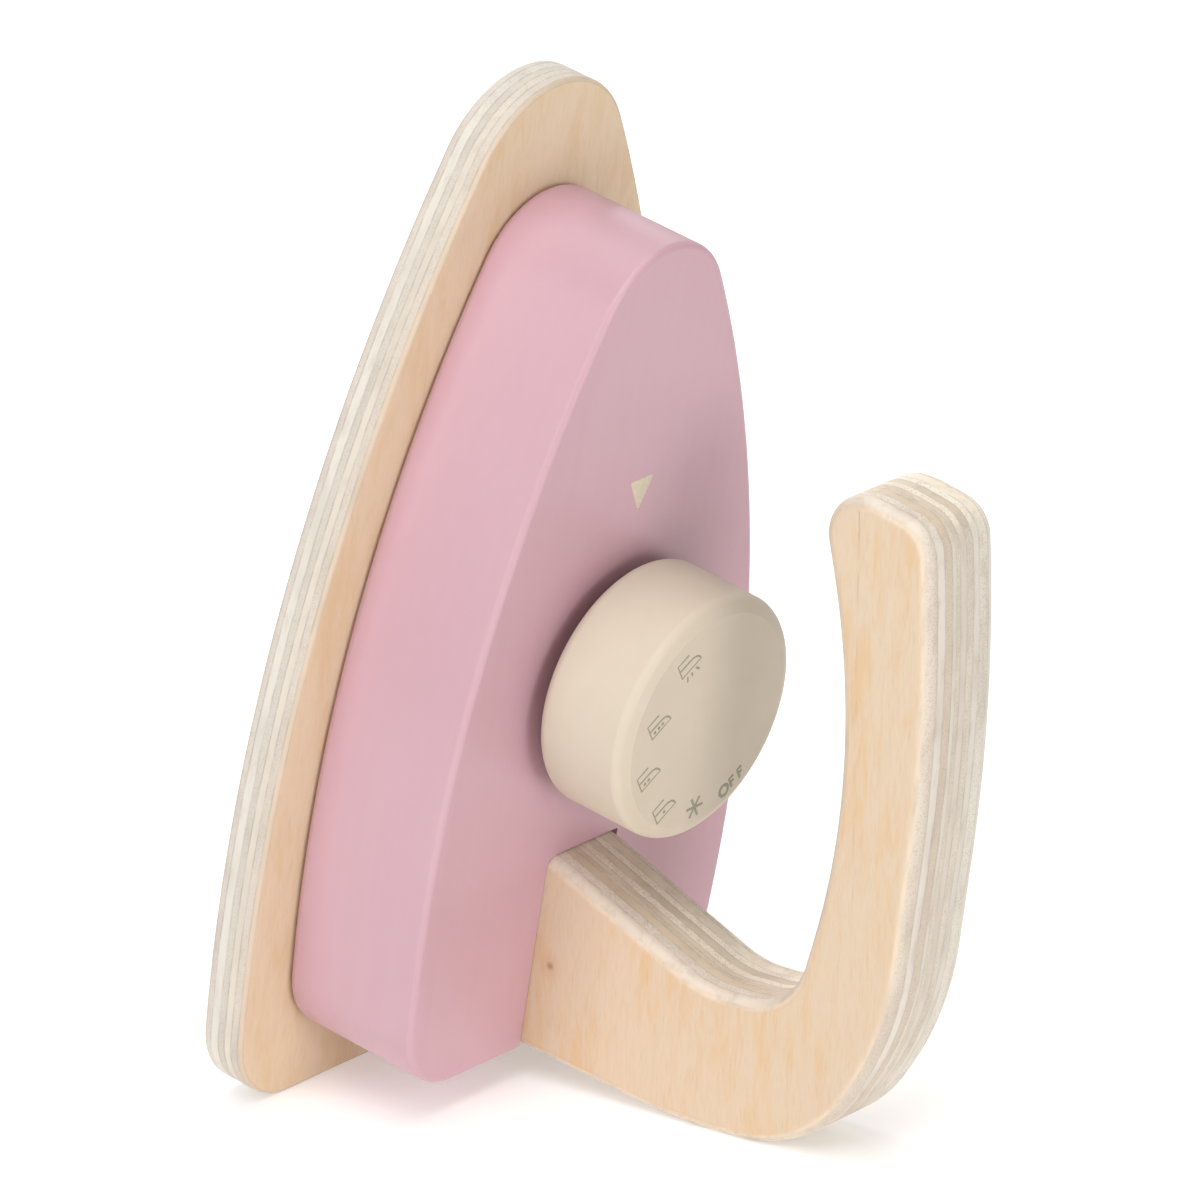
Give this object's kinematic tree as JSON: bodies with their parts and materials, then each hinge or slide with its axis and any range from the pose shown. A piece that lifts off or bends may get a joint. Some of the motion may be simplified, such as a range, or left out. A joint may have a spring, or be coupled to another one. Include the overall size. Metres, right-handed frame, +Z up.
{
  "type": "toy iron",
  "caption": "Wooden toy iron standing on its heel: plywood sole plate and hook handle, pink painted body, and a turning cream knob.",
  "frame": {"origin": "middle of the bounding box, on the surface that the iron stands on", "axes": "+Z up as the iron stands on its heel, -Y towards the handle, +X across, with the plane X = 0 as its plane of symmetry"},
  "size_m": [0.1004, 0.1288, 0.1772],
  "materials": {
    "birch_plywood": "bare sanded birch plywood with open ply edges",
    "beech": "bare turned wood",
    "pink_paint": "satin pink paint over solid wood",
    "cream_paint": "matte cream paint over turned wood",
    "steel": "bright zinc",
    "brass": "turned brass",
    "grey_felt": "pressed felt"
  },
  "bodies": {
    "iron": {"sole_plate": "birch_plywood", "sole_dowel_nose": "beech", "sole_dowel_left": "beech", "sole_dowel_right": "beech", "body": "pink_paint", "handle": "birch_plywood", "handle_screw_upper": "steel", "handle_screw_lower": "steel", "screw_washer": "steel", "spring_washer": "steel", "felt_washer": "grey_felt"},
    "knob": {"knob": "cream_paint", "knob_insert": "brass", "knob_screw": "steel"}
  },
  "joints": [
    {"name": "knob_turn", "type": "hinge", "parent": "iron", "child": "knob", "pos_m": [0, 0.01138, 0.07409], "axis": [0, -0.9763, -0.2162], "continuous": true}
  ]
}
